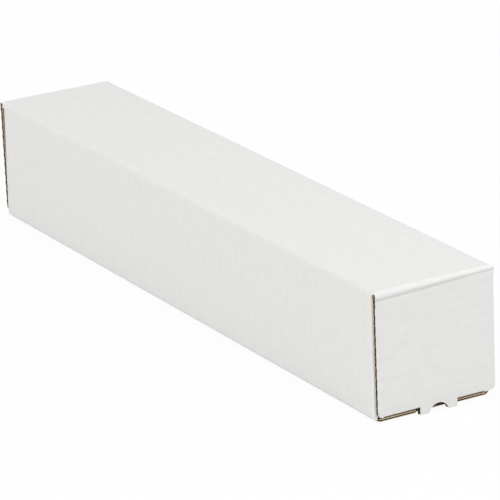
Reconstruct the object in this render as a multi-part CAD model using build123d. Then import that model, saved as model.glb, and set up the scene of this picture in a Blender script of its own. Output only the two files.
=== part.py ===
from build123d import *
import os
from math import cos, floor, radians, sin, tan

# Square mailing tube, folded from one die-cut blank of white corrugated board.
# X runs along the tube with the near end at +X, the plain long side faces -Y, and Z is up.
# The blank has five long panels: inner back wall, bottom, front side, top and outer back wall.

# Room inside the closed tube, in millimetres
inside_length = 457.2
inside_width = 76.2
inside_height = 76.2

# Single-wall board: two paper liners glued to a fluted medium
board = 3.0
liner = 0.35
medium = 0.3
flute_pitch = 6.6
flute_crest_share = 0.2
flute_mouth_depth = 6.0

# Soft folds, tight creases, and the air left where sheets lie face to face
fold_inside_radius = 0.8
crease_inside_radius = 0.3
crease_outside_radius = 1.5
sheet_gap = 0.3
hinge_gap = 0.2
slit = 0.6

# Free long edges of the double back wall
outer_wall_foot_gap = 2.0
inner_wall_head_gap = 1.0

# Closure flap and the tuck flap at its foot
closure_side_gap = 0.4
closure_corner_radius = 4.0
tuck_length = 20.0
tuck_rise_degrees = 10.0
tuck_side_gap = 2.0
tuck_corner_radius = 8.0

# Pull tab that stays in the closure's plane, with a thumb notch in its lower edge
tab_width = 26.5
tab_offset = 1.3
tab_drop = 1.2
notch_radius = 7.2
notch_centre_drop = 1.9

# Dust flaps behind the closure
dust_reach = 33.0
dust_foot_gap = 9.0
dust_head_gap = 6.0
dust_corner_radius = 6.0

# How far a cutting shape runs past what it cuts
overrun = 5.0

# Places that follow from the sizes above
fold_outside_radius = fold_inside_radius + board
width = inside_width + 3 * board + sheet_gap
height = inside_height + 2 * board
underside = tab_drop
floor_inside = underside + board
top = underside + height
ceiling_inside = top - board
front_face = -width / 2
back_face = width / 2
inner_back_face = back_face - board - sheet_gap
dust_face = inside_length / 2 + board
dust_root = dust_face - fold_outside_radius - board
end_face = dust_face + sheet_gap + board
end_middle = end_face - board / 2
wall_end = end_face - fold_outside_radius
closure_half_width = width / 2 - closure_side_gap
panel_top = top - fold_outside_radius
panel_foot = floor_inside + sheet_gap
tuck_fold = panel_foot + crease_outside_radius
tuck_near_side = front_face + board + tuck_side_gap
tuck_far_side = inner_back_face - board - tuck_side_gap
tab_near_side = tab_offset - tab_width / 2
tab_far_side = tab_offset + tab_width / 2
dust_fold_foot = underside + fold_outside_radius + slit
dust_fold_head = top - fold_outside_radius - slit


def block(low, high):
    """Box between two opposite corners."""
    spans = [b - a for a, b in zip(low, high)]
    return Pos(*low) * Box(*spans, align=(Align.MIN, Align.MIN, Align.MIN))


def folded_strip(
    plane, inside_corners, inside_radius=fold_inside_radius, outside_radius=fold_outside_radius
):
    """Section of a folded sheet, from the corners of its inside face in clockwise order."""
    inside = [Vector(*corner) for corner in inside_corners]
    normals = [(b - a).normalized().rotate(Axis.Z, 90) for a, b in zip(inside, inside[1:])]
    outside = [
        corner + (before + after) * (board / (1 + before.dot(after)))
        for corner, before, after in zip(inside, normals[:1] + normals, normals + normals[-1:])
    ]
    folds = len(inside) - 2
    radii = [0] + [inside_radius] * folds + [0, 0] + [outside_radius] * folds + [0]
    return plane * make_face(FilletPolyline(*inside, *outside[::-1], radius=radii, close=True))


def tube_walls():
    """The five long panels as one sheet folded round the room inside."""
    section = folded_strip(Plane.YZ, [
        (inner_back_face - board, ceiling_inside - inner_wall_head_gap),
        (inner_back_face - board, floor_inside),
        (front_face + board, floor_inside),
        (front_face + board, ceiling_inside),
        (back_face - board, ceiling_inside),
        (back_face - board, underside + outer_wall_foot_gap),
    ])
    return extrude(section, wall_end, both=True)


def dust_flap(wall_face, inward):
    """Dust flap at the near end, folded in from the wall whose outer face is given."""
    wall_inside = wall_face + inward * board
    corners = [
        (dust_face - board, wall_face + inward * dust_reach),
        (dust_face - board, wall_inside),
        (dust_root, wall_inside),
    ]
    section = folded_strip(
        Plane.XY.offset(underside), corners[::inward], crease_inside_radius, crease_outside_radius
    )
    sheet = extrude(section, height)
    flap_foot = floor_inside + dust_foot_gap
    flap_head = ceiling_inside - dust_head_gap
    taper_end = board + tuck_side_gap
    outline = make_face(FilletPolyline(
        (-overrun, dust_fold_foot),
        (board, dust_fold_foot),
        (taper_end, flap_foot),
        (dust_reach, flap_foot),
        (dust_reach, flap_head),
        (taper_end, dust_fold_head),
        (-overrun, dust_fold_head),
        radius=[0, 0, 0, dust_corner_radius, dust_corner_radius, 0, 0],
        close=True,
    ))
    outline_plane = Plane(
        origin=(dust_face, wall_face, 0), x_dir=(0, inward, 0), z_dir=(inward, 0, 0)
    )
    return sheet & extrude(outline_plane * outline, fold_outside_radius + 2 * board, both=True)


def dust_flap_window(wall_face, inward, foot):
    """What is cut from the end of a wall to make room for its dust flap and the slits beside it."""
    wall_sides = sorted([wall_face - inward * overrun, wall_face + inward * board])
    return block(
        (dust_root, wall_sides[0], foot),
        (end_face, wall_sides[1], dust_fold_head + slit),
    )


def inner_back_setback():
    """What is cut from the end of the inner back wall to let the outer wall's dust flap pass."""
    return block(
        (dust_face - board - sheet_gap, inner_back_face - fold_outside_radius, underside - overrun),
        (end_face, inner_back_face + sheet_gap / 2, ceiling_inside),
    )


def top_lip():
    """End of the top panel, rolled over to the mitre where the closure hinges."""
    envelope = Pos(0, underside) * RectangleRounded(
        width, height, fold_outside_radius, align=(Align.CENTER, Align.MIN)
    )
    strip = Pos(0, ceiling_inside) * Rectangle(
        2 * closure_half_width, board, align=(Align.CENTER, Align.MIN)
    )
    fold_axis = Axis((wall_end, 0, panel_top), (0, 1, 0))
    return revolve(Plane.YZ.offset(wall_end) * (strip & envelope), fold_axis, 45)


def hinge_edge():
    """Closure's half of the end fold, cut back from the mitre through the fold's centre."""
    section = folded_strip(Plane.XZ, [
        (wall_end - board, ceiling_inside),
        (end_face - board, ceiling_inside),
        (end_face - board, panel_top - board),
    ])
    reach = 2 * fold_outside_radius + board
    mitre = Plane(origin=(wall_end, 0, panel_top), x_dir=(1, 0, 1), z_dir=(0, -1, 0))
    flap_side = mitre * Pos(0, -hinge_gap - reach) * Rectangle(2 * reach, 2 * reach)
    return extrude(section & flap_side, closure_half_width, both=True)


def flute_section(plane, span, first_side):
    """Flute mouths across a stretch of board, in turn against one liner and the other."""
    web = medium * flute_pitch / board
    wide = flute_pitch * (1 - flute_crest_share) - web
    narrow = max(flute_pitch * flute_crest_share - web, medium)
    count = floor((span - wide) / (flute_pitch / 2)) + 1
    base = board / 2 - liner
    tip = base - medium
    mouths = []
    for index in range(count):
        along = (index - (count - 1) / 2) * flute_pitch / 2
        side = first_side * (-1) ** index
        mouths.append(make_face(Polyline(
            (along - wide / 2, side * base),
            (along + wide / 2, side * base),
            (along + narrow / 2, -side * tip),
            (along - narrow / 2, -side * tip),
            close=True,
        )))
    return [plane * mouth for mouth in mouths]


def upright_flutes(foot, head, half_width):
    """Flutes across the closure's plane between two heights."""
    plane = Plane(
        origin=(end_middle, 0, (foot + head) / 2), x_dir=(0, 0, 1), z_dir=(0, 1, 0)
    )
    mouths = flute_section(plane, head - foot, 1)
    return [extrude(mouth, half_width + overrun, both=True) for mouth in mouths]


def outer_wall_flutes():
    """Flute mouths along the free edge of the outer back wall, sunk as far as they can be seen."""
    edge = Plane.XY.offset(underside + outer_wall_foot_gap) * Pos(0, back_face - board / 2)
    mouths = flute_section(edge, 2 * (dust_root - board), 1)
    return [extrude(mouth, flute_mouth_depth, both=True) for mouth in mouths]


def tab_room():
    """The block that the pull tab is cut from."""
    return block((end_face - board, tab_near_side, 0), (end_face, tab_far_side, tuck_fold))


def closure_panel():
    """Closure panel with the pull tab below it, cut from one flat sheet."""
    tuck_middle = (tuck_near_side + tuck_far_side) / 2
    tuck_width = tuck_far_side - tuck_near_side
    outline = make_face(FilletPolyline(
        (-closure_half_width, panel_top),
        (-closure_half_width, panel_foot),
        (closure_half_width, panel_foot),
        (closure_half_width, panel_top),
        radius=[0, closure_corner_radius, closure_corner_radius, 0],
        close=True,
    ))
    bend_room = Pos(tuck_middle, tuck_fold) * Rectangle(
        tuck_width + 2 * slit, tuck_fold, align=(Align.CENTER, Align.MAX)
    )
    tab = Pos(tab_offset, tuck_fold) * Rectangle(
        tab_width, tuck_fold, align=(Align.CENTER, Align.MAX)
    )
    notch = Pos(tab_offset, -notch_centre_drop) * Circle(notch_radius)
    sheet = Plane.YZ.offset(end_face) * (outline - bend_room + tab - notch)
    panel = extrude(sheet, -board)
    panel -= upright_flutes(tuck_fold + 2 * board, panel_top, closure_half_width)
    return panel - [flute & tab_room() for flute in upright_flutes(0, tuck_fold, closure_half_width)]


def tuck_flap():
    """Tuck flap, creased in over the bottom panel and rising a little towards its free edge."""
    rise = radians(tuck_rise_degrees)
    crease_lift = (board - crease_outside_radius) * tan(radians(90 + tuck_rise_degrees) / 2)
    corner = (end_face - board, tuck_fold + crease_lift)
    free_edge = (corner[0] - tuck_length * cos(rise), corner[1] + tuck_length * sin(rise))
    section = folded_strip(
        Plane.XZ,
        [(corner[0], corner[1] + board), corner, free_edge],
        crease_inside_radius,
        crease_outside_radius,
    )
    outline = make_face(FilletPolyline(
        (end_face, tuck_near_side),
        (end_face, tuck_far_side),
        (end_face - board - tuck_length, tuck_far_side),
        (end_face - board - tuck_length, tuck_near_side),
        radius=[0, 0, tuck_corner_radius, tuck_corner_radius],
        close=True,
    ))
    sheet = extrude(section, width / 2, both=True)
    sheet &= extrude(Plane.XY.offset(underside) * outline, free_edge[1] + board)
    tab_slot = block(
        (end_face - tuck_fold, tab_near_side, 0),
        (end_face - board, tab_far_side, free_edge[1] + board),
    )
    sheet -= [tab_slot, tab_room()]
    tuck_inside = Plane(
        origin=(corner[0], 0, corner[1]), x_dir=(-cos(rise), 0, sin(rise)), z_dir=(0, -1, 0)
    )
    flute_plane = tuck_inside * Pos(tuck_length / 2 + board, board / 2)
    mouths = flute_section(flute_plane, tuck_length - 2 * board, 1)
    return sheet - [extrude(mouth, closure_half_width, both=True) for mouth in mouths]


def end_flap():
    """Closure flap at the near end, closed: hinge edge, panel, pull tab and tuck flap."""
    return hinge_edge() + closure_panel() + tuck_flap()


def tube_body():
    """Walls, top lips and dust flaps of the folded sheet."""
    cuts = [
        dust_flap_window(front_face, 1, dust_fold_foot - slit),
        dust_flap_window(back_face, -1, underside - overrun),
        inner_back_setback(),
    ]
    near_end = [dust_flap(front_face, 1), dust_flap(back_face, -1), top_lip()]
    body = tube_walls() - outer_wall_flutes()
    for cut in cuts:
        body -= [cut, mirror(cut, about=Plane.YZ)]
    for piece in near_end:
        body += [piece, mirror(piece, about=Plane.YZ)]
    return body


os.makedirs("parts", exist_ok=True)
near_end_flap = end_flap()
export_step(tube_body(), "parts/tube_body.step")
export_step(near_end_flap, "parts/near_end_flap.step")
export_step(mirror(near_end_flap, about=Plane.YZ), "parts/far_end_flap.step")
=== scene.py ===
# %% [markdown]
# # Square mailing tube in white corrugated board
# The tube is one flat blank: two paper liners glued to a wavy paper, the flutes. It is creased,
# folded round into a square and closed by a tuck-in flap at each end. The measured solids come
# first, as a fixed frame. Everything below is paper laid on that frame, in the same place.

# %% Load the frame
import math

import bmesh
import bpy
from mathutils import Matrix, Vector, noise
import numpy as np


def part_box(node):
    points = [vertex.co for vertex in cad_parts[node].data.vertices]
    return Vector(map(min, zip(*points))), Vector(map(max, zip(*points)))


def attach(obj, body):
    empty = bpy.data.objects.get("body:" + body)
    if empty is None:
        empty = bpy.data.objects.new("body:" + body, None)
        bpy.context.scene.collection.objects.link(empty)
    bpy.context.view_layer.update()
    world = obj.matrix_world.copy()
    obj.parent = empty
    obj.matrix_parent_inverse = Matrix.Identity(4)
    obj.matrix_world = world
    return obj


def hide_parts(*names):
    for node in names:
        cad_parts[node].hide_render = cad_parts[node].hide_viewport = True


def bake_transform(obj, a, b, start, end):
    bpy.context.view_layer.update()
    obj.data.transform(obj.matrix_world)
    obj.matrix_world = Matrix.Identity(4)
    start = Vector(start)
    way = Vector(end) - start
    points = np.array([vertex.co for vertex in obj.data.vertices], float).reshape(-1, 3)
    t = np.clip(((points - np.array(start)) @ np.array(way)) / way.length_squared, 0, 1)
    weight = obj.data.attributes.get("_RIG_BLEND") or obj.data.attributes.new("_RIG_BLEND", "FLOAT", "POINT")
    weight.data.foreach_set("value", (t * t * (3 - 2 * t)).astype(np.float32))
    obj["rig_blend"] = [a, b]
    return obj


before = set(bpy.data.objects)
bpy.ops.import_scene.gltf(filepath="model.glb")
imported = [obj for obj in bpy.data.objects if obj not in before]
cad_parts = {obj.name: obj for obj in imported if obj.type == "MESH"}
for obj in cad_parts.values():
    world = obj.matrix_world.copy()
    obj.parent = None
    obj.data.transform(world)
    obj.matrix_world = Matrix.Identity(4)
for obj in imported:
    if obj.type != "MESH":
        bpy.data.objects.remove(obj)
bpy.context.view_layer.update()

MM = 0.001

# %% [markdown]
# ## The sizes of the board
# A learner could model the tube as a hollow box with a picture of cardboard on it. Real board shows
# what it is made of at every cut edge, so the layers are modelled instead. All sizes below are in
# millimetres, and places come from the boxes of the solids, so the paper follows the frame.

# %% Sizes
BOARD = 3.0
LINER = 0.35
FLUTING = 0.3
FLUTE_PITCH = 6.6
FOLD_INSIDE = 0.8
FOLD_OUTSIDE = FOLD_INSIDE + BOARD
SHEET_GAP = 0.3

tube_low, tube_high = (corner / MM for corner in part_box("tube_body"))
flap_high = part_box("near_end_flap")[1] / MM
UNDERSIDE, TOP = tube_low.z, tube_high.z
HALF_WIDTH = tube_high.y
END_FACE = flap_high.x
CLOSURE_HALF = flap_high.y
WALL_END = END_FACE - FOLD_OUTSIDE
PANEL_TOP = TOP - FOLD_OUTSIDE
DUST_FACE = END_FACE - BOARD - SHEET_GAP
DUST_ROOT = DUST_FACE - FOLD_OUTSIDE - BOARD
print(f"tube {2 * END_FACE:.1f} x {2 * HALF_WIDTH:.1f} x {TOP - UNDERSIDE:.1f} mm of {BOARD} mm board")

# %% [markdown]
# ## Small helpers for materials
# Colours are picked as sRGB hex, as a paint program shows them, but shaders count in linear light,
# so one function converts. Another adds a node, sets its values and links its inputs in one line,
# which keeps a node tree as readable as a recipe.

# %% Colour and node helpers
def linear(hex_colour):
    """Linear RGBA of an sRGB hex colour."""
    parts = [int(hex_colour[i:i + 2], 16) / 255 for i in (1, 3, 5)]
    return [p / 12.92 if p <= 0.04045 else ((p + 0.055) / 1.055) ** 2.4 for p in parts] + [1.0]


def add(tree, kind, settings=(), **inputs):
    """Adds a node, sets its properties, and sets or links its inputs by name, or by number as in0."""
    node = tree.nodes.new(kind)
    for key, value in dict(settings).items():
        setattr(node, key, value)
    for key, value in inputs.items():
        numbered = key.startswith("in") and key[2:].isdigit()
        socket = node.inputs[int(key[2:]) if numbered else key.replace("_", " ")]
        if isinstance(value, bpy.types.NodeSocket):
            tree.links.new(value, socket)
        else:
            socket.default_value = value
    return node


def new_material(name):
    """An empty node material and its node tree."""
    material = bpy.data.materials.new(name)
    material.use_nodes = True
    material.node_tree.nodes.clear()
    return material, material.node_tree


print("half grey in linear light", round(linear("#808080")[0], 3))

# %% [markdown]
# ## Bleached white liner
# The outside of the tube is a white-top liner: bleached pulp over brown pulp, calendered but not
# coated. The eye gets a matt near-white with soft clouds a few millimetres wide where the thin white
# ply lets the brown through, fine fibres, and a trace of each flute: a faint darker stripe between
# the crests, painted shade of the washboard's hollows. A plain white colour would look like plastic.
# The clouds and fibres read Object coordinates, and the flute trace reads an attribute on the mesh
# that holds the distance across the flutes, because that direction turns with the folds.
# Real fibres are hundredths of a millimetre wide, too fine to show, so they are drawn much coarser.
# At the hinge folds the sheet is pressed and its paint is a little brighter, a painted highlight along
# the crest, and a second attribute paints shade along the line of the creasing rule.

# %% White liner material
FIBRE = 0.55
CLOUD = 7.0


def white_paper(name, dull, bright):
    """Bleached liner between two near-whites, with clouds, fibres, faint painted shade between the flute
    crests and painted shade along the score.
    """
    material, tree = new_material(name)
    place = add(tree, "ShaderNodeTexCoord").outputs["Object"]
    across = add(tree, "ShaderNodeAttribute", {"attribute_name": "flute_way"}).outputs["Fac"]
    clouds = add(tree, "ShaderNodeTexNoise", Vector=place, Scale=1 / (CLOUD * MM), Detail=4.0, Roughness=0.6)
    fibres = add(tree, "ShaderNodeTexNoise", Vector=place, Scale=1 / (FIBRE * MM), Detail=2.0, Roughness=0.6)
    turns = add(tree, "ShaderNodeMath", {"operation": "MULTIPLY"}, in0=across,
                in1=2 * math.pi / (FLUTE_PITCH * MM))
    flutes = add(tree, "ShaderNodeMath", {"operation": "SINE"}, in0=turns.outputs[0])
    cloud_mix = add(tree, "ShaderNodeMapRange", Value=clouds.outputs["Fac"], From_Min=0.3, From_Max=0.7)
    base = add(tree, "ShaderNodeMix", {"data_type": "RGBA"}, in0=cloud_mix.outputs[0],
               in6=linear(dull), in7=linear(bright))
    fleck = add(tree, "ShaderNodeMapRange", Value=fibres.outputs["Fac"], From_Min=0.62, From_Max=0.8)
    flecked = add(tree, "ShaderNodeMix", {"data_type": "RGBA", "blend_type": "MULTIPLY"},
                  in0=fleck.outputs[0], in6=base.outputs[2], in7=linear("#F6F5F1"))
    # Painted shade: a faint darkening between the flute crests, where the washboard's outer liner sags.
    trace = add(tree, "ShaderNodeMapRange", Value=flutes.outputs[0], From_Min=-1.0, From_Max=1.0,
                To_Min=0.04, To_Max=0.0)
    washboard_shaded = add(tree, "ShaderNodeMix", {"data_type": "RGBA", "blend_type": "MULTIPLY"},
                 in0=trace.outputs[0], in6=flecked.outputs[2], in7=linear("#DCDAD6"))
    # Painted shade along the score line, standing in for the shadow of its groove.
    pressed = add(tree, "ShaderNodeAttribute", {"attribute_name": "score_mark"}).outputs["Fac"]
    score_shaded = add(tree, "ShaderNodeMix", {"data_type": "RGBA", "blend_type": "MULTIPLY"},
                 in0=pressed, in6=washboard_shaded.outputs[2], in7=linear("#E4E3E3"))
    rough = add(tree, "ShaderNodeMapRange", Value=clouds.outputs["Fac"], To_Min=0.58, To_Max=0.72)
    grain = add(tree, "ShaderNodeBump", Height=fibres.outputs["Fac"], Strength=0.12, Distance=0.05 * MM)
    shader = add(tree, "ShaderNodeBsdfPrincipled", Base_Color=score_shaded.outputs[2], Roughness=rough.outputs[0],
                 Normal=grain.outputs[0], IOR=1.45, Specular_IOR_Level=0.3)
    add(tree, "ShaderNodeOutputMaterial", Surface=shader.outputs[0])
    return material


white_liner = white_paper("bleached_white_liner", "#E8E8E6", "#ECECEB")
# Brighter copy of the white liner: a painted highlight for the fold crests, and painted light on creases in
# shade.
pressed_liner_painted_highlight = white_paper("pressed_white_liner_painted_highlight", "#EFEFEE", "#F3F3F2")
print("white papers", [m.name for m in (white_liner, pressed_liner_painted_highlight)])

# %% [markdown]
# ## Brown papers
# The inner liner and the fluting are unbleached kraft. The eye gets a warm tan with long darker
# fibres that lie along the paper machine's run, which is across the flutes. They too are drawn coarser
# than real ones. One function makes all four finishes, because they differ only in colour and
# roughness. The fluting is painted much darker than the liner, a painted shade for its mouths, which
# hardly any light gets into and which look almost black at a cut edge. The cut edge, where the knife
# bares the pulp, is paler, rougher and a little dusty. The last finish is the white ply where a crease
# has cracked it to cream, painted paler still as painted light in the shaded gap behind a closure.

# %% Kraft materials
FIBRE_LONG = 3.2
FIBRE_WIDE = 0.5


def kraft(name, dark, light, roughness):
    """Unbleached paper with fibres drawn out along the machine's run."""
    material, tree = new_material(name)
    place = add(tree, "ShaderNodeTexCoord").outputs["Object"]
    run = add(tree, "ShaderNodeMapping", Vector=place,
              Scale=(1 / (FIBRE_LONG * MM), 1 / (FIBRE_WIDE * MM), 1 / (FIBRE_WIDE * MM)))
    streaks = add(tree, "ShaderNodeTexNoise", Vector=run.outputs[0], Scale=1.0, Detail=4.0, Roughness=0.65)
    clouds = add(tree, "ShaderNodeTexNoise", Vector=place, Scale=1 / (CLOUD * MM), Detail=3.0)
    both = add(tree, "ShaderNodeMath", {"operation": "MULTIPLY"},
               in0=streaks.outputs["Fac"], in1=clouds.outputs["Fac"])
    mix = add(tree, "ShaderNodeMapRange", Value=both.outputs[0], From_Min=0.12, From_Max=0.42)
    base = add(tree, "ShaderNodeMix", {"data_type": "RGBA"}, in0=mix.outputs[0],
               in6=linear(dark), in7=linear(light))
    grain = add(tree, "ShaderNodeBump", Height=streaks.outputs["Fac"], Strength=0.25, Distance=0.06 * MM)
    shader = add(tree, "ShaderNodeBsdfPrincipled", Base_Color=base.outputs[2], Roughness=roughness,
                 Normal=grain.outputs[0], IOR=1.45, Specular_IOR_Level=0.25)
    add(tree, "ShaderNodeOutputMaterial", Surface=shader.outputs[0])
    return material


kraft_liner = kraft("kraft_liner", "#A98A66", "#C4A680", roughness=0.72)
# Painted shade: near-black brown for the flute mouths and the hidden inside of the board.
kraft_fluting_painted_shade = kraft("kraft_fluting_painted_shade", "#2A1E14", "#44331F", roughness=0.8)
cut_edge = kraft("cut_paper_edge", "#CDB795", "#E6D5B9", roughness=0.85)
# Cream of the cracked ply, made paler as painted light for the shaded gap behind a closure.
cracked_ply_painted_light = kraft("bruised_white_ply", "#F0E6D4", "#F9F4EA", roughness=0.8)
print("kraft papers", [m.name for m in (kraft_liner, kraft_fluting_painted_shade, cut_edge, cracked_ply_painted_light)])

# %% [markdown]
# ## Bending a sheet
# Every layer of the board starts as a flat grid, just as paper does. The grid could be bent with
# modifiers, but each fold would need its own. Here its points are moved to where the layer lies
# instead. A place in the board is found between a point on its outside face and a point on its inside
# face, so one rule serves flat panels, soft folds and tight creases. Each point also keeps its distance
# across the flutes and the strength of the score, which the white paper reads.

# %% Bend one sheet into place
def bent_grid(bm, rows, columns, where, depth, mark):
    """Adds a flat grid, bends it into place and returns its faces, turned outwards."""
    # The score's strength goes on each point for the white paper, which paints shade along the score with it.
    way, score_mark = (bm.verts.layers.float.get(name) or bm.verts.layers.float.new(name)
                       for name in ("flute_way", "score_mark"))
    verts = bmesh.ops.create_grid(bm, x_segments=rows, y_segments=columns, size=0.5)["verts"]
    outward = None
    for vert in verts:
        face_point, room_point, distance = where(vert.co.x + 0.5, vert.co.y + 0.5)
        outward = outward or face_point - room_point
        vert.co = face_point.lerp(room_point, depth(distance, face_point) / BOARD) * MM
        vert[way] = distance * MM
        vert[score_mark] = mark(distance, face_point) if mark else 0
    sheet = list(dict.fromkeys(face for vert in verts for face in vert.link_faces))
    bm.normal_update()
    if verts[0].link_faces[0].normal.dot(outward) < 0:
        bmesh.ops.reverse_faces(bm, faces=sheet)
    return sheet


print("a sheet is bent between two faces", BOARD, "mm apart")

# %% [markdown]
# ## Cutting the sheet and giving it thickness
# The die cuts the flat sheet, so faces are taken away before solidify gives it the thickness of the
# paper. Front, back and cut edge get a finish each. The flutes are a sine across the sheet with its
# crests pressed flat. Where the wave crosses the board at a cut edge, its paper is seen end on and gets
# a paler finish than the dark mouths beside it.

# %% Lay one sheet of paper
# The fluting finish is painted shade; the pressed and cracked finishes are brightened as painted light.
PAPERS = [white_liner, kraft_liner, kraft_fluting_painted_shade, cut_edge, pressed_liner_painted_highlight, cracked_ply_painted_light]
WHITE, KRAFT, WAVE_PAINTED_SHADE, EDGE, PRESSED_PAINTED_HIGHLIGHT, CRACKED_PAINTED_LIGHT = range(len(PAPERS))
FLAT_CREST = 1.4
CROSSING = 0.6


def flute(distance):
    """1 where the fluting touches the outer liner, -1 where it touches the inner one."""
    return min(max(FLAT_CREST * math.sin(2 * math.pi * distance / FLUTE_PITCH), -1), 1)


def lay_paper(bm, rows, columns, where, depth, thickness, finishes, cut=None, mark=None, crossing=None):
    """Adds a sheet: a bent grid, cut as the die cuts it, and made as thick as the paper.

    The finishes are for its front, its back and its cut edge, and crossing is one for the cut edge
    where a wave crosses the board."""
    sheet = bent_grid(bm, rows, columns, where, depth, mark)
    if cut:
        waste = [face for face in sheet if cut(face.calc_center_median() / MM)]
        bmesh.ops.delete(bm, geom=waste, context="FACES")
        sheet = [face for face in sheet if face.is_valid]
    bm.normal_update()
    before = set(bm.faces)
    front_edges = {edge for face in sheet for edge in face.edges}
    bmesh.ops.solidify(bm, geom=sheet, thickness=thickness * MM)
    front, back, rim = finishes
    for face in sheet:
        face.material_index = front
    way = bm.verts.layers.float["flute_way"]
    for face in bm.faces:
        if face in before:
            continue
        is_rim = any(edge in front_edges for edge in face.edges)
        face.material_index = rim if is_rim else back
        if is_rim and crossing is not None:
            distance = sum(vert[way] for vert in face.verts) / len(face.verts) / MM
            if abs(flute(distance)) < CROSSING:
                face.material_index = crossing


print("papers", [paper.name for paper in PAPERS])

# %% [markdown]
# ## The three layers
# Outer liner, fluting and inner liner differ only in how deep they lie. Between two flute crests the
# outer liner sags by a few hundredths of a millimetre. That is the faint washboard that tells
# corrugated board from solid board, so it is in the mesh and not only in the material. The sheet is
# also a little uneven over its length, as all board is.

# %% Depths of the layers
SAG = 0.02
UNEVEN = 0.12
UNEVEN_RUN = 70.0
WAVE_HEIGHT = (BOARD - 2 * LINER - FLUTING) / 2


def outer_depth(distance, point):
    """How deep the outer liner's face lies: the washboard, and a slow unevenness of the sheet."""
    slow = noise.noise(point / UNEVEN_RUN) * 0.5 + 0.5
    return SAG * (1 - flute(distance)) / 2 + UNEVEN * slow


def fluting_depth(distance, point):
    """How deep the fluting's outer face lies."""
    return BOARD / 2 - FLUTING / 2 - WAVE_HEIGHT * flute(distance)


def inner_depth(distance, point):
    """How deep the inner liner's hidden face lies."""
    return BOARD - LINER


print(f"waves {2 * WAVE_HEIGHT:.2f} mm high, {FLUTE_PITCH} mm apart")

# %% [markdown]
# ## Boards and pieces
# A panel is its three layers in one bmesh. Each bmesh becomes one object at the origin, with its place
# in its mesh, as the solids have it. Smooth shading suits the bent paper, and a sharp angle keeps the
# cut edges crisp.

# %% Make a board and a piece
SHARP = math.radians(50)


def lay_board(bm, rows, columns, where, face_depth=outer_depth, mark=None, lining_edge=EDGE):
    """Adds the three layers of one panel, with a finish for the inner liner's cut edge."""
    lay_paper(bm, rows, columns, where, face_depth, LINER, (WHITE, WAVE_PAINTED_SHADE, EDGE), mark=mark)
    lay_paper(bm, rows, columns, where, fluting_depth, FLUTING, (WAVE_PAINTED_SHADE, WAVE_PAINTED_SHADE, WAVE_PAINTED_SHADE), crossing=KRAFT)
    lay_paper(bm, rows, columns, where, inner_depth, LINER, (WAVE_PAINTED_SHADE, KRAFT, lining_edge))


def make_piece(name, bm):
    """Turns a bmesh into an object with the papers' materials and crisp cut edges."""
    mesh = bpy.data.meshes.new(name)
    bm.to_mesh(mesh)
    bm.free()
    for paper in PAPERS:
        mesh.materials.append(paper)
    mesh.shade_smooth()
    mesh.set_sharp_from_angle(angle=SHARP)
    piece = bpy.data.objects.new(name, mesh)
    bpy.context.scene.collection.objects.link(piece)
    print(name, sum(len(p.vertices) - 2 for p in mesh.polygons), "triangles")
    return piece


print("edges sharper than", round(math.degrees(SHARP)), "degrees stay crisp")

# %% [markdown]
# ## Folding a board
# A crease rounds the outside face with a larger radius than the inside face. A bevel would give each
# face its own points, and the layers between them would be lost. So the path of a folded board is kept
# as pairs of points, one on each face: straight runs between folds, and arcs at them. The corners of
# the inside face are enough to work it all out, in clockwise order.

# %% Pairs of points along a folded board
def folded(corners, spacing, inside_radius=FOLD_INSIDE, outside_radius=FOLD_OUTSIDE, fold_steps=8):
    """Pairs of points, outside and inside, along a board folded at the given inside corners."""
    points = [Vector(corner) for corner in corners]
    ways = [(b - a).normalized() for a, b in zip(points, points[1:])]
    outs = [Vector((-way.y, way.x)) for way in ways]
    knots = [[(points[0] + outs[0] * BOARD, points[0])]]
    for corner, before, after in zip(points[1:], outs, outs[1:]):
        mitre = (before + after) / (1 + before.dot(after))
        inside = corner - mitre * inside_radius
        outside = corner + mitre * (BOARD - outside_radius)
        turned = [before.slerp(after, step / fold_steps) for step in range(fold_steps + 1)]
        knots.append([(outside + out * outside_radius, inside + out * inside_radius) for out in turned])
    knots.append([(points[-1] + outs[-1] * BOARD, points[-1])])
    pairs = list(knots[0])
    for knot in knots[1:]:
        (a, b), (c, d) = pairs[-1], knot[0]
        steps = max(1, round((c - a).length / spacing))
        pairs += [(a.lerp(c, step / steps), b.lerp(d, step / steps)) for step in range(1, steps)]
        pairs += knot
    return pairs


def distances(pairs):
    """Distance along the middle of the board to each pair."""
    middles = [(a + b) / 2 for a, b in pairs]
    way = [0.0]
    for a, b in zip(middles, middles[1:]):
        way.append(way[-1] + (b - a).length)
    return way


print("a fold with one corner", len(folded([(0, 0), (0, 20), (20, 20)], spacing=5)), "pairs")

# %% [markdown]
# ## The tube's walls
# Five long panels wrap round the goods: inner back wall, bottom, front, top and outer back wall. They
# could be five boxes, but the real tube has no joint at its long edges, so one sheet is folded round.
# The flutes run round the section, so the washboard crosses every panel and counts along the tube. The
# outer liner gets six columns to a flute, enough for a smooth wave, and the flat inner liner very few.

# %% Corners and columns of the walls
INNER_BACK = HALF_WIDTH - BOARD - SHEET_GAP
INNER_END = DUST_FACE - BOARD - SHEET_GAP
INNER_HEAD = 1.0
OUTER_FOOT = 2.0
WALL_SPACING = 13
wall_corners = [
    (INNER_BACK - BOARD, TOP - BOARD - INNER_HEAD),
    (INNER_BACK - BOARD, UNDERSIDE + BOARD),
    (-HALF_WIDTH + BOARD, UNDERSIDE + BOARD),
    (-HALF_WIDTH + BOARD, TOP - BOARD),
    (HALF_WIDTH - BOARD, TOP - BOARD),
    (HALF_WIDTH - BOARD, UNDERSIDE + OUTER_FOOT),
]
wall_pairs = folded(wall_corners, WALL_SPACING)


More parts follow.
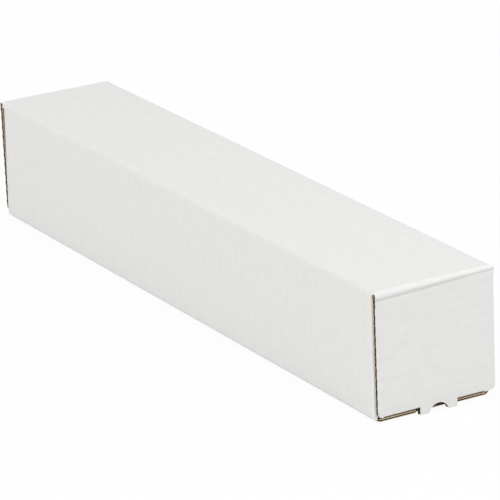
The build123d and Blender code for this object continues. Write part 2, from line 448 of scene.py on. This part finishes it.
def wall_columns(steps_to_flute):
    """Places along the tube where the wall's grid has columns, with the cut lines among them."""
    count = round(2 * DUST_ROOT / FLUTE_PITCH * steps_to_flute)
    run = [DUST_ROOT * (2 * step / count - 1) for step in range(count + 1)]
    ends = [DUST_ROOT + (INNER_END - DUST_ROOT) / 2, INNER_END, WALL_END]
    return [-x for x in reversed(ends)] + run + ends


def wall_place(pairs, columns):
    """Finds a place in the walls from a share of the way round and a share of the way along."""
    def where(u, v):
        a, b = pairs[round(u * (len(pairs) - 1))]
        x = columns[round(v * (len(columns) - 1))]
        return Vector((x, *a)), Vector((x, *b)), x
    return where


print("wall path", len(wall_pairs), "pairs,", round(distances(wall_pairs)[-1], 1), "mm round")

# %% [markdown]
# ## Cutting the ends of the walls
# The ends of the two side walls are cut away where the dust flaps fold in, as the die cuts the flat
# blank. The slit follows the crease line, which is half way round the fold at the bottom. A boolean
# would leave ragged faces along such thin paper. The grid has a column on each cut line instead, so
# whole faces can be taken away.

# %% Outer and inner liner of the walls
LINER_STEPS = 6
LINING_STEPS = 0.1
SLIT_RISE = FOLD_OUTSIDE * (1 - math.cos(math.pi / 4))


def wall_window(centre):
    """True where the die has cut the ends of the side walls away for the dust flaps."""
    along, side, up = abs(centre.x), centre.y, centre.z
    front = side < -HALF_WIDTH + BOARD and UNDERSIDE + SLIT_RISE < up < PANEL_TOP
    outer_back = side > HALF_WIDTH - BOARD and up < PANEL_TOP
    inner_back = INNER_BACK - FOLD_OUTSIDE < side < INNER_BACK + SHEET_GAP / 2 and up < TOP - BOARD
    if front or outer_back:
        return along > DUST_ROOT
    return inner_back and along > INNER_END


walls = bmesh.new()
wall_rows = len(wall_pairs) - 1
fine, coarse = wall_columns(LINER_STEPS), wall_columns(LINING_STEPS)
lay_paper(walls, wall_rows, len(fine) - 1, wall_place(wall_pairs, fine),
          outer_depth, LINER, (WHITE, KRAFT, EDGE), wall_window)
lay_paper(walls, wall_rows, len(coarse) - 1, wall_place(wall_pairs, coarse),
          inner_depth, LINER, (KRAFT, KRAFT, EDGE), wall_window)
print("wall grid", len(wall_pairs), "by", len(fine))

# %% [markdown]
# ## Fluting at the outer back wall's foot
# The fluting fills the whole wall on the real tube, but only its cut edges can be seen. The longest one
# is the free foot of the outer back wall, where every flute shows its mouth. A short strip of the wave
# there gives the same picture as a full sheet for a fraction of the faces.

# %% Fluting of the foot
STRIP = 14.0
WAVE_STEPS = 8
foot = wall_pairs[-1]
strip_top = tuple(point + Vector((0, STRIP)) for point in foot)
waves = wall_columns(WAVE_STEPS)
lay_paper(walls, 1, len(waves) - 1, wall_place([strip_top, foot], waves),
          fluting_depth, FLUTING, (WAVE_PAINTED_SHADE, WAVE_PAINTED_SHADE, EDGE), lambda centre: abs(centre.x) > DUST_ROOT)
print("foot strip", len(waves), "columns")

# %% [markdown]
# ## Raw ends of the walls
# In the raw ends of the bottom panel and the long folds the fluting is a single line of paper, because
# the cut runs along a flute. Strips a few flutes long show it. The bottom runs on a little under the
# closure's foot, with a recess that lets the pull tab past. In that lip the fluting is crushed to one
# thick line between two dark gaps.

# %% End strips and lips
STRIP_STEPS = 20
LIP = 1.2
LIP_FLUTING = 0.6
TAB_HALF = 13.25
TAB_MIDDLE = 1.3
TAB_ROOM = TAB_HALF + 1.5

floor_inside = UNDERSIDE + BOARD
lip_corners = (
    [(INNER_BACK - BOARD, floor_inside + BOARD),
     (INNER_BACK - BOARD, floor_inside),
     (TAB_MIDDLE + TAB_ROOM, floor_inside)],
    [(TAB_MIDDLE - TAB_ROOM, floor_inside),
     (-HALF_WIDTH + FOLD_OUTSIDE, floor_inside)],
)


def crushed_depth(distance, point):
    """How deep the crushed fluting's outer face lies, half way through the board."""
    return (BOARD - LIP_FLUTING) / 2


for end in (-1, 1):
    end_columns = [end * (WALL_END - STRIP * (1 - step / STRIP_STEPS)) for step in range(STRIP_STEPS + 1)]
    lay_paper(walls, wall_rows, STRIP_STEPS, wall_place(wall_pairs, end_columns),
              fluting_depth, FLUTING, (WAVE_PAINTED_SHADE, WAVE_PAINTED_SHADE, EDGE), wall_window)
    for corners in lip_corners:
        lip_pairs = [pair for pair in folded(corners, WALL_SPACING) if pair[0].y < floor_inside]
        lip_place = wall_place(lip_pairs, [end * WALL_END, end * (WALL_END + LIP)])
        lip_rows = len(lip_pairs) - 1
        # The liner faces inside the lip carry the fluting's painted shade, which darkens the two gaps.
        lay_paper(walls, lip_rows, 1, lip_place, outer_depth, LINER, (WHITE, WAVE_PAINTED_SHADE, EDGE))
        lay_paper(walls, lip_rows, 1, lip_place, crushed_depth, LIP_FLUTING, (EDGE, EDGE, EDGE))
        lay_paper(walls, lip_rows, 1, lip_place, inner_depth, LINER, (WAVE_PAINTED_SHADE, KRAFT, EDGE))
tube_walls = make_piece("tube_walls", walls)
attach(tube_walls, "tube")
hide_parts("tube_body")

# %% [markdown]
# ## Outline of a dust flap
# A dust flap folds in from each end of the front and the outer back wall. It tapers a little and has
# round corners, so that it slides past the closure. The outline could be cut from a wide sheet, but
# steps would show along its curves. So each column of the grid is stretched between the flap's lower
# and upper edge instead.

# %% Dust flap outline
SLIT = 0.04
DUST_REACH = 33.0
DUST_FOOT = UNDERSIDE + BOARD + 9.0
DUST_HEAD = TOP - BOARD - 6.0
DUST_CORNER = 6.0
DUST_STEP = 2.0
DUST_SHOULDER = 5.0


def dust_span(reach, side):
    """Lowest and highest place of a dust flap at a distance in from the wall's outer face."""
    root_low = UNDERSIDE + SLIT + (SLIT_RISE if side > 0 else OUTER_FOOT)
    root_high = PANEL_TOP - SLIT
    rise = min(max((reach - BOARD) / DUST_STEP, 0), 1)
    low = root_low + (DUST_FOOT - root_low) * rise
    taper = max(reach - DUST_SHOULDER, 0) / (DUST_REACH - DUST_SHOULDER)
    high = root_high - (root_high - DUST_HEAD) * taper
    past = min(max(reach - DUST_REACH + DUST_CORNER, 0), DUST_CORNER)
    rounding = DUST_CORNER - math.sqrt(DUST_CORNER ** 2 - past ** 2)
    return low + rounding, high - rounding


def fold_draw(z):
    """How far the front wall draws in at a height, where the long fold begins below it."""
    drop = max(UNDERSIDE + FOLD_OUTSIDE - z, 0)
    return FOLD_OUTSIDE - math.sqrt(FOLD_OUTSIDE ** 2 - drop ** 2)


print("dust flap", DUST_REACH, "mm deep, free edge", round(DUST_HEAD - DUST_FOOT, 1), "mm high")

# %% [markdown]
# ## Dust flaps
# Their flutes stand upright, so the upper and lower edges show the wave when a closure is open. The near
# front flap is worked out once, and a sign for each direction places the other three. The two front
# flaps lean in towards their heads, which opens a thin wedge behind the closure's side edge. Their
# crease is tight, so the thin white ply has cracked along it to a cream line, widest near the top. The
# crease in that wedge is painted brighter than the paper, cream and white, as painted light that lifts
# the shade of the wedge.

# %% Dust flaps
DUST_LEAN = {1: 0.9, -1: 2.0}
LEAN_RUN = 5.0
CRACK = 0.7
CRACK_FOOT = 14.0
CREASE_INSIDE = 0.3
CREASE_OUTSIDE = 1.5
CREASE_STEPS = 10
DUST_COLUMNS = 36


def dust_lean(end, z):
    """How far a front dust flap leans in at a height."""
    return DUST_LEAN[end] * math.sin(math.pi / 2 * z / TOP)


def crease_finish(end, centre):
    """Finish of a front flap's outer face: white, brightened at the crease as painted light, and cracked to
    cream along it above the foot.
    """
    before = DUST_FACE - dust_lean(end, centre.z) - abs(centre.x)
    if centre.y > -HALF_WIDTH + BOARD or before > CREASE_OUTSIDE:
        return WHITE
    return CRACKED_PAINTED_LIGHT if before < CRACK * (centre.z - CRACK_FOOT) / (TOP - CRACK_FOOT) else PRESSED_PAINTED_HIGHLIGHT


def dust_place(end, side):
    """Finds a place in one dust flap; end and side are 1 or -1."""
    corners = [
        (DUST_FACE - BOARD, -HALF_WIDTH + DUST_REACH),
        (DUST_FACE - BOARD, -HALF_WIDTH + BOARD),
        (DUST_ROOT, -HALF_WIDTH + BOARD),
    ]
    pairs = folded(corners, FLUTE_PITCH / WAVE_STEPS, CREASE_INSIDE, CREASE_OUTSIDE, CREASE_STEPS)
    ways = distances(pairs)

    def where(u, v):
        index = round(u * (len(pairs) - 1))
        a, b = pairs[index]
        low, high = dust_span((a.y + b.y) / 2 + HALF_WIDTH, side)
        z = low + (high - low) * v
        from_root = ways[-1] - ways[index]
        lean = dust_lean(end, z) * min(from_root / LEAN_RUN, 1) if side > 0 else 0
        draw = fold_draw(z) if side > 0 else 0
        face = Vector((end * (a.x - lean), side * (a.y + draw), z))
        room = Vector((end * (b.x - lean), side * (b.y + draw), z))
        return face, room, end * (DUST_ROOT + from_root)
    return where, len(pairs) - 1


for end, end_name in ((1, "near"), (-1, "far")):
    for side, side_name in ((1, "front"), (-1, "back")):
        flap = bmesh.new()
        where, rows = dust_place(end, side)
        lay_board(flap, rows, DUST_COLUMNS, where)
        for face in flap.faces:
            if side > 0 and face.material_index == WHITE:
                face.material_index = crease_finish(end, face.calc_center_median() / MM)
        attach(make_piece(f"{end_name}_{side_name}_dust_flap", flap), "tube")

# %% [markdown]
# ## Path of a closure
# Each closure is a panel that hangs from the top, a tight crease at its foot and a tuck flap that
# slides in over the bottom. Seen from the side it is one folded path, as the walls are, with a finer
# spacing because the flutes run across it and its side edges show the wave.

# %% Closure path
PANEL_FOOT = UNDERSIDE + BOARD + SHEET_GAP
TUCK_FOLD = PANEL_FOOT + CREASE_OUTSIDE
TUCK_LENGTH = 20.0
TUCK_RISE = math.radians(10)
PANEL_STEP = 0.4
EAR_HEAD = TUCK_FOLD + 1.2

crease_lift = (BOARD - CREASE_OUTSIDE) * math.tan((math.pi / 2 + TUCK_RISE) / 2)
crease = Vector((END_FACE - BOARD, TUCK_FOLD + crease_lift))
free_edge = crease + TUCK_LENGTH * Vector((-math.cos(TUCK_RISE), math.sin(TUCK_RISE)))
flap_pairs = folded([(END_FACE - BOARD, PANEL_TOP), crease, free_edge],
                    PANEL_STEP, CREASE_INSIDE, CREASE_OUTSIDE)
flap_ways = distances(flap_pairs)
ear_row = max(i for i, pair in enumerate(flap_pairs) if pair[0].y > EAR_HEAD and pair[0].x > END_FACE - SLIT)
slot_row = max(i for i, pair in enumerate(flap_pairs) if pair[0].x > END_FACE - TUCK_FOLD)
print("closure path", len(flap_pairs), "pairs,", round(flap_ways[-1], 1), "mm long")

# %% [markdown]
# ## Sides of a closure
# Folded by hand, the panel hangs a millimetre askew. The knife has flattened its side edges a little,
# more between two flute crests than at them, and has pressed the face in beside the tuck's slits. A
# straight edge would look like plastic sheet, so the sides are worked out row by row.

# %% Closure sides
TUCK_GAP = 2.0
TUCK_NEAR = -HALF_WIDTH + BOARD + TUCK_GAP
TUCK_FAR = INNER_BACK - BOARD - TUCK_GAP
TUCK_CORNER = 8.0
EAR_CORNER = 3.2
RACK = 1.0
BACK_SIDE = CLOSURE_HALF + 0.3
SCALLOP = 0.2
CRUSH = {1: 0.8, -1: 0.2}
CRUSH_DOWN = 6.0
TUCK_COLUMNS = 10


def panel_sides(z):
    """Front and back side of the panel at a height, which hangs askew and has rounded lower corners."""
    past = min(max(PANEL_FOOT + EAR_CORNER - z, 0), EAR_CORNER)
    rounding = EAR_CORNER - math.sqrt(EAR_CORNER ** 2 - past ** 2)
    hang = RACK * (PANEL_TOP - max(z, PANEL_FOOT)) / (PANEL_TOP - PANEL_FOOT)
    return -CLOSURE_HALF + hang + rounding, BACK_SIDE - RACK + hang - rounding


def panel_span(point, way):
    """Sides of the panel, a little crushed by the knife between two flute crests."""
    front, rear = panel_sides(point.y)
    bite = SCALLOP * (1 - flute(way)) / 2
    return front + bite, rear - bite


def crush(end, y, way):
    """How much thinner the board is beside the tuck flap's slits, where the knife has pressed its face in."""
    front = (TUCK_NEAR - y) / (TUCK_NEAR + CLOSURE_HALF - RACK)
    rear = (y - TUCK_FAR) / (BACK_SIDE - TUCK_FAR)
    return CRUSH[end] * min(max(front, rear, 0), 1) * min(way / CRUSH_DOWN, 1)


def even(low, high, columns):
    """Places of the columns of a strip, evenly spaced."""
    return [low + (high - low) * step / columns for step in range(columns + 1)]


def panel_columns(point, way):
    """Places of the panel's columns: its sides, and the strip as wide as the tuck flap between them."""
    front, rear = panel_span(point, way)
    return [front, *even(TUCK_NEAR, TUCK_FAR, TUCK_COLUMNS), rear]


def tuck_side(way):
    """How far the tuck flap's sides draw in at a distance along the closure."""
    past = min(max(TUCK_CORNER - (flap_ways[-1] - way), 0), TUCK_CORNER)
    return TUCK_CORNER - math.sqrt(TUCK_CORNER ** 2 - past ** 2)


print("panel sides at its top", [round(y, 2) for y in panel_sides(PANEL_TOP)],
      "tuck sides", [round(y, 2) for y in (TUCK_NEAR, TUCK_FAR)])

# %% [markdown]
# ## The score under the fold
# A steel rule presses a line into the liner so that the fold starts there. It lies a few millimetres
# below the crest, a little askew, and shows as a thin shadow that fades upwards over the bruised paper.
# Paint alone would not catch the light, so it is a shallow groove in the depth of the outer liner,
# placed by the distance down from the top panel. So it can cross from the hinge fold to the closure
# without a break. The white paper also paints shade along it, because the soft light leaves the groove
# almost unshaded.

# %% Score line
SCORE_DEPTH = 0.3
SCORE_ABOVE = 1.1
SCORE_BELOW = 0.5
SCORE_PLACE = 5.95
SCORE_SKEW = 1.0
FOLD_ARC = FOLD_OUTSIDE * math.pi / 2


def score(y, down):
    """Strength of the score, 0 to 1, across the closure and at a distance down from the top panel."""
    off = down - SCORE_PLACE + SCORE_SKEW * y / CLOSURE_HALF
    off /= SCORE_ABOVE if off < 0 else SCORE_BELOW
    return math.exp(-off * off)


# The score's strength sets the groove's depth and the painted shade along it.
def closure_mark(distance, point):
    """How much a place on the closure is pressed by the score."""
    return score(point.y, FOLD_ARC + distance)


def closure_depth(distance, point):
    """How deep the closure's outer liner lies."""
    return outer_depth(distance, point) + SCORE_DEPTH * closure_mark(distance, point)


print("score", SCORE_PLACE - SCORE_SKEW, "to", SCORE_PLACE + SCORE_SKEW, "mm below the top panel")

# %% [markdown]
# ## Strips of a closure
# The die slits the closure's foot apart: an ear on each side and a pull tab in the middle stay flat,
# and the tuck flap folds in between them. One grid can't go both ways, so the closure is laid as strips
# that meet. The flat ones start just behind the panel's last row, which hides the seam. The tab's lower
# edge has a half-round notch for a thumb.

# %% Closure strips
HEAD_LAP = 0.3
HEAD_SINK = 0.04
NOTCH = 7.2
NOTCH_DROP = 1.9
ALMOST_ALL = 0.999


def flap_strip(end, first, last, across):
    """Finds a place in the closure between two pairs of its path, with the columns across at each."""
    def where(u, v):
        index = first + round(u * (last - first))
        a, b = flap_pairs[index]
        way = flap_ways[index]
        places = across(a, way)
        y = places[round(v * (len(places) - 1))]
        face = a.x - crush(end, y, way)
        return Vector((end * face, y, a.y)), Vector((end * b.x, y, b.y)), way
    return where


def flat_strip(end, low, high, foot):
    """Finds a place in the flat board below the panel, from just behind its last row down to a foot."""
    head_point = flap_pairs[ear_row][0]
    head = head_point.y + HEAD_LAP

    def where(u, v):
        y = low + (high - low) * v
        z = head + (foot(y) - head) * u
        way = flap_ways[ear_row] + head_point.y - z
        face = END_FACE - crush(end, y, way) - (0 if u > 0 else HEAD_SINK)
        return Vector((end * face, y, z)), Vector((end * (END_FACE - BOARD), y, z)), way
    return where


def ear_foot(y):
    """Height of an ear's lower edge, with its corner rounded."""
    inset = min(y + CLOSURE_HALF - RACK, BACK_SIDE - y)
    past = min(max(EAR_CORNER - inset, 0), EAR_CORNER * ALMOST_ALL)
    return PANEL_FOOT + EAR_CORNER - math.sqrt(EAR_CORNER ** 2 - past ** 2)


def tab_foot(y):
    """Height of the pull tab's lower edge, with the thumb notch."""
    return max(math.sqrt(max(NOTCH ** 2 - (y - TAB_MIDDLE) ** 2, 0)) - NOTCH_DROP, 0)


print("thumb notch", round(tab_foot(TAB_MIDDLE), 1), "mm high")

# %% [markdown]
# ## Closures
# The strips go into one bmesh: the panel, its two ears, the creased tuck on both sides of the tab, the
# rest of the tuck, and the tab. The tab gets many columns for its round notch. Nothing may stand below
# the table, so the lowest points are held at its level. Each closure takes the place of its solid and
# rides on the flap's body.

# %% Closures
EAR_ROWS, EAR_COLUMNS = 6, 10
TAB_ROWS, TAB_COLUMNS = 12, 64
CREASE_COLUMNS = 2
TUCK_END_COLUMNS = 6


def tuck_columns(point, way):
    """Places of the columns of the tuck flap's free part, between its rounded corners."""
    side = tuck_side(way)
    return even(TUCK_NEAR + side, TUCK_FAR - side, TUCK_END_COLUMNS)


def closure(end, name, body, node):
    """Builds one closure; end is 1 at the near end and -1 at the far end."""
    bm = bmesh.new()
    last = len(flap_pairs) - 1
    tab_near, tab_far = TAB_MIDDLE - TAB_HALF, TAB_MIDDLE + TAB_HALF
    # The inner liner's cut edge on the panel gets the cracked cream finish, brightened as painted light for
    # the shaded gap beside it.
    lay_board(bm, ear_row, TUCK_COLUMNS + 2, flap_strip(end, 0, ear_row, panel_columns),
              closure_depth, closure_mark, lining_edge=CRACKED_PAINTED_LIGHT)
    front, rear = panel_span(flap_pairs[ear_row][0], flap_ways[ear_row])
    for low, high in ((front, TUCK_NEAR), (TUCK_FAR, rear)):
        lay_board(bm, EAR_ROWS, EAR_COLUMNS, flat_strip(end, low, high, ear_foot))
    for low, high in ((TUCK_NEAR, tab_near), (tab_far, TUCK_FAR)):
        columns = even(low, high, CREASE_COLUMNS)
        lay_board(bm, slot_row - ear_row, CREASE_COLUMNS,
                  flap_strip(end, ear_row, slot_row, lambda point, way: columns))
    lay_board(bm, last - slot_row, TUCK_END_COLUMNS, flap_strip(end, slot_row, last, tuck_columns))
    lay_board(bm, TAB_ROWS, TAB_COLUMNS, flat_strip(end, tab_near, tab_far, tab_foot))
    for vert in bm.verts:
        vert.co.z = max(vert.co.z, 0)
    piece = make_piece(name, bm)
    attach(piece, body)
    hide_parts(node)


closure(1, "near_closure", "near_flap", "near_end_flap")
closure(-1, "far_closure", "far_flap", "far_end_flap")

# %% [markdown]
# ## Folds that hinge
# Where a closure meets the top, the paper is creased and not cut, so it bends as the flap opens. A rigid
# fold would tear away from one side. Each layer of the fold is a piece of its own that follows the tube
# on one side and the flap on the other. The crest is a little squarer than round, and the corners of the
# fold take over the rounding of the tube's long edges, with the columns closer together there.

# %% Hinge folds
FOLD_ROWS = 16
FOLD_COLUMNS = 40
FOLD_EASE = 4
CREST = 3.0


# The score's strength on the fold sets the painted shade along it.
def fold_mark(distance, point):
    """How much a place on the fold is pressed by the score."""
    return score(point.y, distance)


def fold_depth(distance, point):
    """How deep the outer liner lies on a fold, where the washboard is pressed flat."""
    return outer_depth(FLUTE_PITCH / 4, point) + SCORE_DEPTH * fold_mark(distance, point)


def fold_radius(y, share):
    """Outside radius of the hinge fold, smaller at its ends where the long edges round away."""
    past = min(max(abs(y) - HALF_WIDTH + FOLD_OUTSIDE, 0), FOLD_OUTSIDE)
    root = math.sqrt(FOLD_OUTSIDE ** 2 - past ** 2)
    return root + (FOLD_OUTSIDE - root) * (1 - (1 - share) ** FOLD_EASE)


def fold_place(end):
    """Finds a place in the fold between the top and a closure."""
    def where(u, v):
        rear = CLOSURE_HALF + (BACK_SIDE - RACK - CLOSURE_HALF) * u
        y = -CLOSURE_HALF + (CLOSURE_HALF + rear) * (1 - math.cos(math.pi * v)) / 2
        angle = u * math.pi / 2
        across, rise = (max(share, 0) ** (2 / CREST) for share in (math.sin(angle), math.cos(angle)))
        out = Vector((end * across, 0, rise))
        centre = Vector((end * WALL_END, y, PANEL_TOP))
        return centre + out * fold_radius(y, u), centre + out * FOLD_INSIDE, FOLD_ARC * u
    return where


# The fold's outer face gets the brighter pressed finish, a painted highlight along the crest.
LAYERS = (
    ("face", fold_depth, LINER, (PRESSED_PAINTED_HIGHLIGHT, WAVE_PAINTED_SHADE, EDGE), FOLD_OUTSIDE),
    ("fluting", lambda distance, point: BOARD / 2, FLUTING, (WAVE_PAINTED_SHADE, WAVE_PAINTED_SHADE, EDGE), FOLD_OUTSIDE - BOARD / 2),
    ("lining", inner_depth, LINER, (WAVE_PAINTED_SHADE, KRAFT, EDGE), FOLD_INSIDE),
)
for end, end_name in ((1, "near"), (-1, "far")):
    for layer, depth, thickness, finishes, radius in LAYERS:
        bm = bmesh.new()
        lay_paper(bm, FOLD_ROWS, FOLD_COLUMNS, fold_place(end), depth, thickness, finishes, mark=fold_mark)
        piece = make_piece(f"{end_name}_fold_{layer}", bm)
        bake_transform(piece, "tube", f"{end_name}_flap",
                 start=Vector((end * WALL_END, 0, PANEL_TOP + radius)) * MM,
                 end=Vector((end * (WALL_END + radius), 0, PANEL_TOP)) * MM)

# %% [markdown]
# ## Floor
# The tube lies on a seamless white table. A floor bright enough to clear to white would throw too much
# light up at the tube. So its paint is a pale matt white that keeps the shadow, and for the camera, for
# mirrors and for glass most of it glows at exactly white.

# %% Floor
FLOOR_HALF = 6.0
GLOW_SHARE = 0.94
floor_bm = bmesh.new()
bmesh.ops.create_grid(floor_bm, x_segments=1, y_segments=1, size=FLOOR_HALF)
floor_mesh = bpy.data.meshes.new("floor")
floor_bm.to_mesh(floor_mesh)
floor_bm.free()
floor = bpy.data.objects.new("floor", floor_mesh)
bpy.context.scene.collection.objects.link(floor)

floor_paint, tree = new_material("white_table")
path = add(tree, "ShaderNodeLightPath")
seen = add(tree, "ShaderNodeMath", {"operation": "ADD", "use_clamp": True},
           in0=path.outputs["Is Camera Ray"], in1=path.outputs["Is Glossy Ray"])
seen = add(tree, "ShaderNodeMath", {"operation": "ADD", "use_clamp": True},
           in0=seen.outputs[0], in1=path.outputs["Is Transmission Ray"])
share = add(tree, "ShaderNodeMath", {"operation": "MULTIPLY"}, in0=seen.outputs[0], in1=GLOW_SHARE)
matt = add(tree, "ShaderNodeBsdfDiffuse", Color=linear("#F4F4F4"))
glow = add(tree, "ShaderNodeEmission", Strength=1.0)
mixed = add(tree, "ShaderNodeMixShader", in0=share.outputs[0], in1=matt.outputs[0], in2=glow.outputs[0])
add(tree, "ShaderNodeOutputMaterial", Surface=mixed.outputs[0])
floor_mesh.materials.append(floor_paint)
print("floor", floor.name, 2 * FLOOR_HALF, "m wide")

# %% [markdown]
# ## Room and lamps
# The light is very even, so every face is nearly the same white and only the folds and the cut edges
# draw the tube. A white room gives most of it. Two weak soft boxes, one overhead towards the near end
# and one in front, set the faces a few shades apart. Stronger lamps would put a bright line on the long
# folds, which soft paper doesn't show.

# %% Room and lamps
ROOM_LIGHT = 0.785
world = bpy.data.worlds.new("white_room")
bpy.context.scene.world = world
world.use_nodes = True
tree = world.node_tree
tree.nodes.clear()
path = add(tree, "ShaderNodeLightPath")
room = add(tree, "ShaderNodeBackground", Color=linear("#FFFFFF"), Strength=ROOM_LIGHT)
white = add(tree, "ShaderNodeBackground", Color=linear("#FFFFFF"), Strength=1.0)
mixed = add(tree, "ShaderNodeMixShader", in0=path.outputs["Is Camera Ray"],
            in1=room.outputs[0], in2=white.outputs[0])
add(tree, "ShaderNodeOutputWorld", Surface=mixed.outputs[0])


def soft_lamp(name, place, target, size, power):
    """Adds a square soft box that looks at a point."""
    lamp = bpy.data.lights.new(name, "AREA")
    lamp.size = size
    lamp.energy = power
    box = bpy.data.objects.new(name, lamp)
    box.location = place
    box.rotation_euler = (Vector(target) - Vector(place)).to_track_quat("-Z", "Y").to_euler()
    bpy.context.scene.collection.objects.link(box)


soft_lamp("overhead_soft_box", place=(0.72, 0.3, 1.24), target=(0.1, 0, 0.05), size=1.2, power=5.0)
soft_lamp("front_soft_box", place=(-0.2, -2.0, 0.9), target=(0, 0, 0.05), size=1.4, power=5.9)
bpy.context.scene.view_settings.view_transform = "Standard"

# %% [markdown]
# ## Camera
# The tube is seen from well back through a long lens, so the long edges hardly converge. The view is
# found from the tube's own edges: the direction and distance, and a slight turn of the camera. Its
# three axes are written as a matrix, because a track-to rule could not hold the turn.

# %% Camera
AZIMUTH, ELEVATION, ROLL = (math.radians(angle) for angle in (-30.75, 19.55, -1.74))
TARGET = Vector((22.9, 0.0, 40.5)) * MM
DISTANCE = 2330 * MM
SENSOR = 36
FOCAL_LENGTH = 263.0

back = Vector((math.cos(ELEVATION) * math.cos(AZIMUTH),
               math.cos(ELEVATION) * math.sin(AZIMUTH),
               math.sin(ELEVATION)))
right = (-back).cross(Vector((0, 0, 1))).normalized()
up = right.cross(-back)
right, up = (math.cos(ROLL) * right + math.sin(ROLL) * up, math.cos(ROLL) * up - math.sin(ROLL) * right)
lens = bpy.data.cameras.new("camera")
lens.sensor_width = SENSOR
lens.lens = FOCAL_LENGTH
camera = bpy.data.objects.new("camera", lens)
bpy.context.scene.collection.objects.link(camera)
turn = Matrix((right, up, back)).transposed().to_4x4()
camera.matrix_world = Matrix.Translation(TARGET + back * DISTANCE) @ turn
bpy.context.scene.camera = camera
print("camera", [round(x, 3) for x in camera.location], "lens", round(lens.lens, 1))
